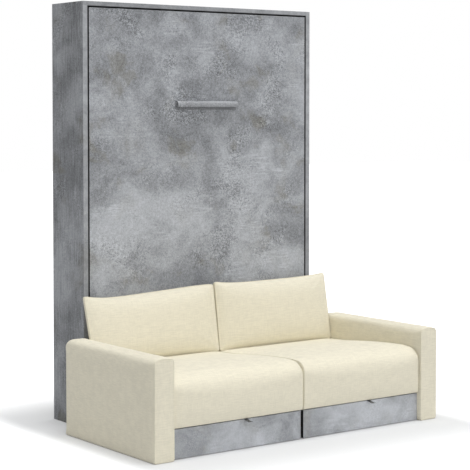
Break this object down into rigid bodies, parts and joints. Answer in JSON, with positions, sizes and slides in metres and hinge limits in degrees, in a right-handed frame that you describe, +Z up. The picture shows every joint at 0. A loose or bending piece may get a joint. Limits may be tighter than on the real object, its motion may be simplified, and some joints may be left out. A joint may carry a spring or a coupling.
{
  "type": "wall bed with sofa",
  "caption": "Upright fold-down double bed in a shallow cabinet with a flat front, and a two-seat sofa with loose back cushions and base drawers standing in front of it.",
  "frame": {"origin": "on the floor, under the middle of the object's bounding box", "axes": "+Z up, +Y towards the wall behind the cabinet, so the sofa faces -Y, and +X to the right of someone who faces the sofa"},
  "size_m": [1.828, 1.24, 2.24],
  "materials": {
    "concrete_laminate": "matt laminate with a mottled concrete look on board",
    "cream_fabric": "plain woven upholstery cloth",
    "mattress_ticking": "quilted knitted ticking",
    "birch_wood": "lacquered birch",
    "pale_board": "white melamine board",
    "carcass_board": "grey melamine board",
    "dark_board": "black-faced board",
    "dark_painted_steel": "fine-textured dark powder coat",
    "chromed_rod": "polished hard chrome",
    "zinc_steel": "bright zinc plate"
  },
  "bodies": {
    "cabinet": {"cabinet_side_left": "concrete_laminate", "cabinet_side_right": "concrete_laminate", "cabinet_top": "concrete_laminate", "cabinet_back": "pale_board", "wall_rail_top": "carcass_board", "wall_rail_low": "carcass_board", "wall_bracket_left": "zinc_steel", "wall_bracket_right": "zinc_steel", "lower_front_panel": "concrete_laminate", "hinge_plate_left": "dark_painted_steel", "hinge_plate_right": "dark_painted_steel", "arm_left": "cream_fabric", "arm_right": "cream_fabric", "base_side_left": "carcass_board", "base_side_right": "carcass_board", "base_divider": "dark_board", "base_rear_rail": "carcass_board", "seat_deck": "carcass_board", "runner_left_inner": "birch_wood", "runner_left_outer": "birch_wood", "runner_right_inner": "birch_wood", "runner_right_outer": "birch_wood", "seat_cushion_left": "cream_fabric", "seat_cushion_right": "cream_fabric"},
    "bed": {"front_panel": "concrete_laminate", "handle": "concrete_laminate", "bed_rail_left": "dark_painted_steel", "bed_rail_right": "dark_painted_steel", "bed_rail_head": "dark_painted_steel", "bed_rail_foot": "dark_painted_steel", "bed_spine": "dark_painted_steel", "slat_row_left": "birch_wood", "slat_row_right": "birch_wood", "mattress": "mattress_ticking", "bed_plate_left": "dark_painted_steel", "bed_plate_right": "dark_painted_steel", "leg_bracket_left": "dark_painted_steel", "leg_bracket_right": "dark_painted_steel"},
    "end_leg": {"leg_arm_left": "dark_painted_steel", "leg_arm_right": "dark_painted_steel", "leg_crossbar": "dark_painted_steel"},
    "strut_tube_left": {"strut_cylinder_left": "dark_painted_steel"},
    "strut_piston_left": {"strut_rod_left": "chromed_rod"},
    "strut_tube_right": {"strut_cylinder_right": "dark_painted_steel"},
    "strut_piston_right": {"strut_rod_right": "chromed_rod"},
    "back_cushion_left": {"back_cushion_left": "cream_fabric"},
    "back_cushion_right": {"back_cushion_right": "cream_fabric"},
    "drawer_left": {"drawer_left_front": "concrete_laminate", "drawer_left_tab": "dark_painted_steel", "drawer_left_inner_side": "pale_board", "drawer_left_outer_side": "pale_board", "drawer_left_bottom": "pale_board", "drawer_left_back": "pale_board"},
    "drawer_right": {"drawer_right_front": "concrete_laminate", "drawer_right_tab": "dark_painted_steel", "drawer_right_inner_side": "pale_board", "drawer_right_outer_side": "pale_board", "drawer_right_bottom": "pale_board", "drawer_right_back": "pale_board"}
  },
  "joints": [
    {"name": "bed_fold", "type": "hinge", "parent": "cabinet", "child": "bed", "pos_m": [0, 0.339, 0.47], "axis": [1, 0, 0], "range_deg": [0, 90]},
    {"name": "leg_fold", "type": "hinge", "parent": "bed", "child": "end_leg", "pos_m": [0, 0.406, 2.15], "axis": [1, 0, 0], "range_deg": [0, 247.65]},
    {"name": "strut_swing_left", "type": "hinge", "parent": "cabinet", "child": "strut_tube_left", "pos_m": [-0.715, 0.4349, 0.6801], "axis": [1, 0, 0], "range_deg": [0, 15.56]},
    {"name": "strut_stroke_left", "type": "slide", "parent": "strut_tube_left", "child": "strut_piston_left", "axis": [0, 0.2882, 0.9576], "range_m": [0, 0.1101]},
    {"name": "strut_swing_right", "type": "hinge", "parent": "cabinet", "child": "strut_tube_right", "pos_m": [0.715, 0.4349, 0.6801], "axis": [1, 0, 0], "range_deg": [0, 15.56]},
    {"name": "strut_stroke_right", "type": "slide", "parent": "strut_tube_right", "child": "strut_piston_right", "axis": [0, 0.2882, 0.9576], "range_m": [0, 0.1101]},
    {"name": "back_cushion_left_lift", "type": "slide", "parent": "cabinet", "child": "back_cushion_left", "axis": [0, -0.9701, 0.2425], "range_m": [0, 2.766]},
    {"name": "back_cushion_right_lift", "type": "slide", "parent": "cabinet", "child": "back_cushion_right", "axis": [0, -0.9701, 0.2425], "range_m": [0, 2.766]},
    {"name": "drawer_left_slide", "type": "slide", "parent": "cabinet", "child": "drawer_left", "axis": [0, -1, 0], "range_m": [0, 0.38]},
    {"name": "drawer_right_slide", "type": "slide", "parent": "cabinet", "child": "drawer_right", "axis": [0, -1, 0], "range_m": [0, 0.38]}
  ],
  "couplings": [
    {"joint": "leg_fold", "follows": "bed_fold", "ratio": 2.7516},
    {"joint": "strut_swing_left", "follows": "bed_fold", "ratio": 0.17276},
    {"joint": "strut_stroke_left", "follows": "bed_fold", "m_per_rad": 0.070042},
    {"joint": "strut_swing_right", "follows": "bed_fold", "ratio": 0.17276},
    {"joint": "strut_stroke_right", "follows": "bed_fold", "m_per_rad": 0.070042},
    {"joint": "back_cushion_left_lift", "follows": "bed_fold", "m_per_rad": 1.76},
    {"joint": "back_cushion_right_lift", "follows": "bed_fold", "m_per_rad": 1.76}
  ]
}
